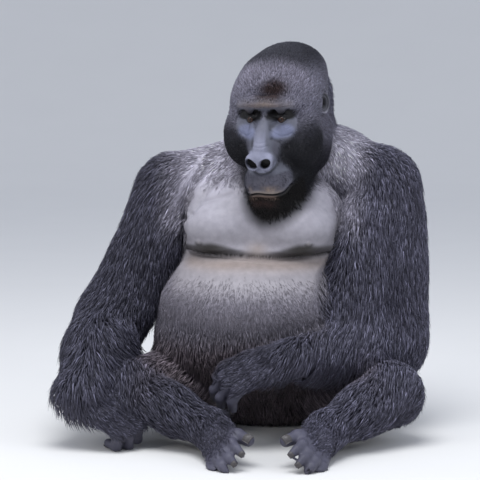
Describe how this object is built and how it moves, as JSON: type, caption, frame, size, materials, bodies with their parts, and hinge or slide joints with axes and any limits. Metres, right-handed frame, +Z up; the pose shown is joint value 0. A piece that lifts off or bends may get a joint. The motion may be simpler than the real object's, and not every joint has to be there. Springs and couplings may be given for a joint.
{
  "type": "gorilla figure",
  "caption": "Life-size still model of an adult male gorilla sitting upright, one hand on the ground and the other forearm across its lap.",
  "frame": {"origin": "on the floor under the seat, on the flat the animal sits on", "axes": "+Z up, the animal faces -Y and a little towards -X, its left side is towards +X"},
  "size_m": [0.9157, 0.8286, 0.9631],
  "materials": {
    "coat": "matte",
    "hide": "satin",
    "eye": "gloss"
  },
  "bodies": {
    "root": {"trunk": "coat", "neck": "coat", "head": "hide", "ear_r": "hide", "ear_l": "hide", "eye_r": "eye", "eye_l": "eye", "upper_arm_r": "coat", "upper_arm_l": "coat", "forearm_r": "coat", "forearm_l": "coat", "hand_r": "hide", "hand_l": "hide", "thigh_r": "coat", "thigh_l": "coat", "lower_leg_r": "coat", "lower_leg_l": "coat", "foot_r": "hide", "foot_l": "hide"}
  },
  "joints": []
}
